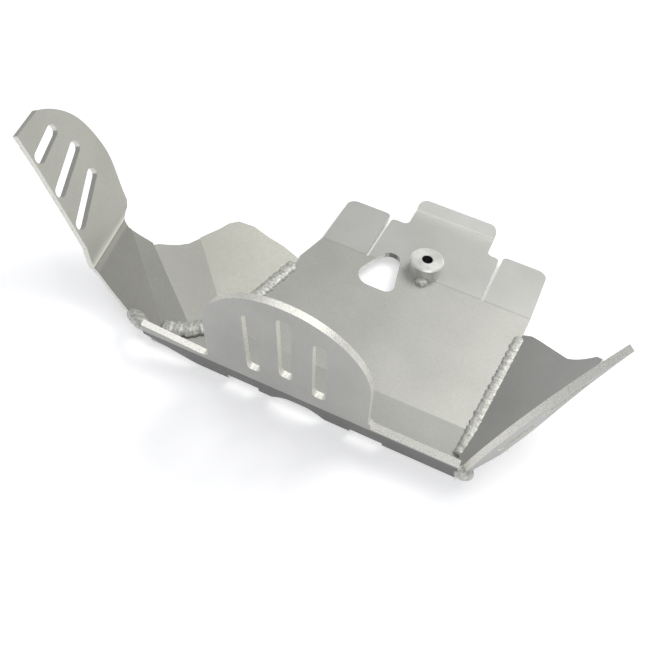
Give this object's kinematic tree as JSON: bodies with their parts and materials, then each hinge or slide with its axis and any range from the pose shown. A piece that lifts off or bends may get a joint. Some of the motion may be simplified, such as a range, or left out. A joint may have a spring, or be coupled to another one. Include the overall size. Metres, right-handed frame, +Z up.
{
  "type": "motorcycle skid plate",
  "caption": "Welded sheet skid plate with a flat belly, a bent-up slotted front ear, folded side wings, split rear tabs and a central bored boss.",
  "frame": {"origin": "on the axis of the boss's bore, level with the underside of the floor panel", "axes": "+X to the right of the plate seen from above with the front nearest, +Y to the rear of the motorcycle, +Z up, along the bore"},
  "size_m": [0.3541, 0.2253, 0.1258],
  "materials": {
    "plate": "satin, raw",
    "left_wing": "satin, raw",
    "right_wing": "satin, raw",
    "boss": "turned",
    "weld": "as welded"
  },
  "bodies": {
    "root": {"main_plate": "plate", "left_wing": "left_wing", "right_wing": "right_wing", "boss": "boss", "left_seam_weld": "weld", "left_front_weld": "weld", "right_seam_weld": "weld", "left_corner_weld": "weld", "right_corner_weld": "weld", "boss_weld": "weld"}
  },
  "joints": []
}
